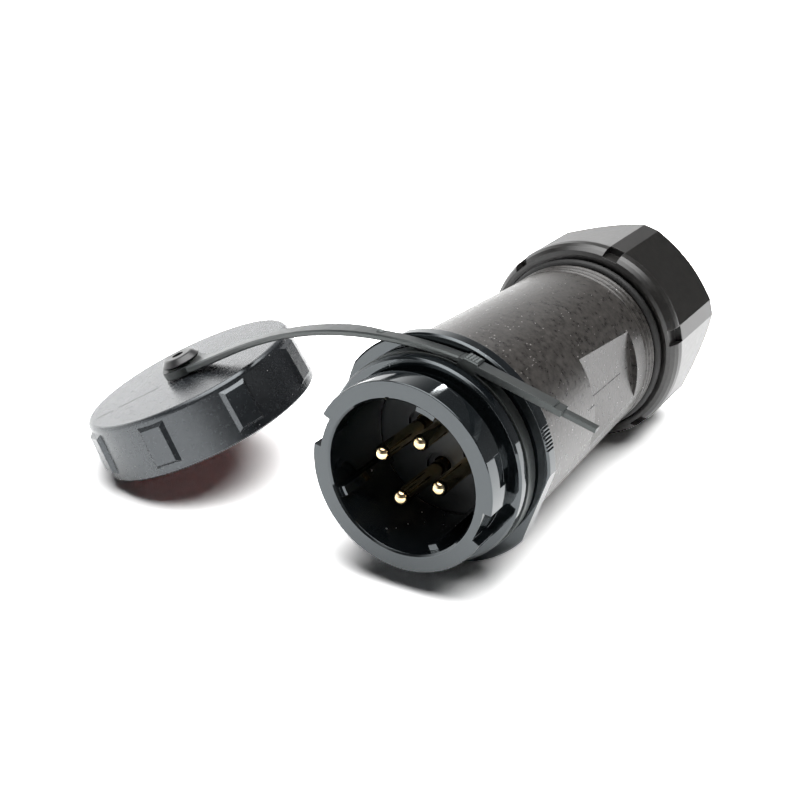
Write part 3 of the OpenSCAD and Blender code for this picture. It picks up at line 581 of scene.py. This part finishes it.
def makeThread(look):
    bpy.ops.object.select_all(action="DESELECT")
    bpy.ops.mesh.primitive_circle_add(vertices=4, radius=1)
    piece = startPiece("glandThread")
    foot = look["rootShare"] * look["pitch"] / 2
    flat = look["crestShare"] * look["pitch"] / 2
    profile = ((look["root"], -foot), (look["crest"], -flat), (look["crest"], flat), (look["root"], foot))
    for point, (radius, height) in zip(piece.data.vertices, profile):
        point.co = (radius, 0, height)
    screw = piece.modifiers.new("winding", "SCREW")
    screw.axis = "Z"
    screw.screw_offset = look["pitch"]
    screw.iterations = look["turns"]
    screw.steps = screw.render_steps = look["steps"]
    screw.use_merge_vertices = False
    bpy.ops.object.modifier_apply(modifier="winding")
    bpy.ops.object.mode_set(mode="EDIT")
    bpy.ops.mesh.select_mode(type="EDGE")
    bpy.ops.mesh.select_all(action="DESELECT")
    bpy.ops.mesh.select_non_manifold(extend=False)
    bpy.ops.mesh.edge_face_add()  # closes the two ends of the ridge
    turnOutwards()
    turn = Matrix.Rotation(math.radians(-90), 4, "X")
    settle(piece, Matrix.Translation((0, look["from"], 0)) @ turn, "barrel_plastic", "connector")
    print("thread:", len(piece.data.polygons), "faces")


makeKnurl(headKnurl)
makeThread(glandThread)
print("pieces made")


# floor, lamps and surroundings

studio = {
    "floorSize": 3.0,
    "floorColour": 0.8,  # the floor as the object is lit by it
    "floorSeen": 3.5,  # as the camera sees it, white outside the shadow
    "floorMirrored": 2.8,  # as it shows in a gloss
    "worldSeen": 1.0,
    "worldFill": 0.005,  # light from all round
    "worldHigh": 0.08,  # these show only in a gloss
    "worldTop": 5.0,
    "worldLeft": 1.75,  # low light on the left
    "worldRight": 0.12,  # and on the right
    "leftSpan": (-0.7, 0.1),  # the direction's X over which the left light fades out
    "rightSpan": (0.42, 0.62),  # and the right one comes in
    "lowSpan": (math.sin(math.radians(16)), math.sin(math.radians(40))),  # its Z over which both fade out
    "topSpan": (math.sin(math.radians(50)), math.sin(math.radians(64))),  # and the top light comes in
}
overhead = {"from": (0.1, 0.14, 1), "energy": 2.8, "angle": math.radians(70)}
backLamp = {"place": (-0.075, 0.644, 0.469), "aim": (0, 0.03, 0), "size": (0.06, 0.003), "power": 0.05}


# what the camera sees in a gloss: a glossy or transmitted ray before any diffuse bounce

def addMirrorMask(tree, rays, place):
    x, y = place
    either = addMath(tree, "MAXIMUM", (x, y),
                     rays.outputs["Is Glossy Ray"], rays.outputs["Is Transmission Ray"])
    direct = addMath(tree, "LESS_THAN", (x, y - 180), rays.outputs["Diffuse Depth"], 1)
    return addMath(tree, "MULTIPLY", (x + 180, y - 90), either, direct)


def makeFloor(setup):
    bpy.ops.object.select_all(action="DESELECT")
    bpy.ops.mesh.primitive_plane_add(size=setup["floorSize"], location=(0, 0, solidBox[0].z))
    floor = bpy.context.object
    floor.name = "studioFloor"
    material = bpy.data.materials.new("paleFloor")
    material.use_nodes = True
    tree = material.node_tree
    tree.nodes.remove(tree.nodes["Principled BSDF"])
    rays = addNode(tree, "ShaderNodeLightPath", (-900, 0))
    shade = addMix(tree, "RGBA", (-500, 0), rays.outputs["Is Camera Ray"],
                   grey(setup["floorColour"]), grey(setup["floorSeen"]))
    mask = addMirrorMask(tree, rays, (-700, -250))
    mirrored = addMix(tree, "RGBA", (-250, 0), mask, shade, grey(setup["floorMirrored"]))
    paint = addNode(tree, "ShaderNodeBsdfDiffuse", (0, 0))
    setInputs(paint, Color=mirrored)
    setInputs(tree.nodes["Material Output"], Surface=paint.outputs["BSDF"])
    floor.data.materials.append(material)


def makeWorld(setup):
    world = bpy.data.worlds.new("studioWorld")
    bpy.context.scene.world = world
    world.use_nodes = True
    tree = world.node_tree
    where = addNode(tree, "ShaderNodeTexCoord", (-1200, 0))
    direction = addNode(tree, "ShaderNodeSeparateXYZ", (-1000, 0))
    setInputs(direction, Vector=where.outputs["Generated"])
    rays = addNode(tree, "ShaderNodeLightPath", (-800, 300))

    def glow(axis, span, low, high, place):
        return addRange(tree, place, "SMOOTHSTEP", Value=direction.outputs[axis],
                        From_Min=span[0], From_Max=span[1], To_Min=low, To_Max=high)

    left = glow("X", setup["leftSpan"], setup["worldLeft"], setup["worldHigh"], (-800, -250))
    right = glow("X", setup["rightSpan"], 0, setup["worldRight"], (-800, -550))
    sides = addMath(tree, "ADD", (-620, -400), left, right)
    low = glow("Z", setup["lowSpan"], sides, setup["worldHigh"], (-450, -100))
    top = glow("Z", setup["topSpan"], 0, setup["worldTop"], (-450, -400))
    room = addMath(tree, "ADD", (-280, -250), low, top)
    mask = addMirrorMask(tree, rays, (-600, 300))
    mirrored = addMix(tree, "FLOAT", (-250, 0), mask, setup["worldFill"], room)
    seen = addMix(tree, "FLOAT", (-100, 0), rays.outputs["Is Camera Ray"], mirrored, setup["worldSeen"])
    setInputs(tree.nodes["Background"], Color=opaque(white), Strength=seen)


def placeLamp(name, data, place, aim):
    lamp = bpy.data.objects.new(name, data)
    lamp.location = place
    lamp.rotation_mode = "QUATERNION"
    lamp.rotation_quaternion = (Vector(aim) - Vector(place)).to_track_quat("-Z", "Y")
    bpy.context.scene.collection.objects.link(lamp)
    return lamp


def addOverhead(name, setup):
    data = bpy.data.lights.new(name, "SUN")
    data.energy = setup["energy"]
    data.angle = setup["angle"]
    placeLamp(name, data, setup["from"], (0, 0, 0)).visible_glossy = False


def addSoftbox(name, setup):
    data = bpy.data.lights.new(name, "AREA")
    data.shape = "RECTANGLE"
    data.size, data.size_y = setup["size"]
    data.energy = setup["power"]
    placeLamp(name, data, setup["place"], setup["aim"])


makeFloor(studio)
makeWorld(studio)
addOverhead("overheadSky", overhead)
addSoftbox("backLamp", backLamp)
bpy.context.scene.view_settings.view_transform = "Standard"
print("studio set")
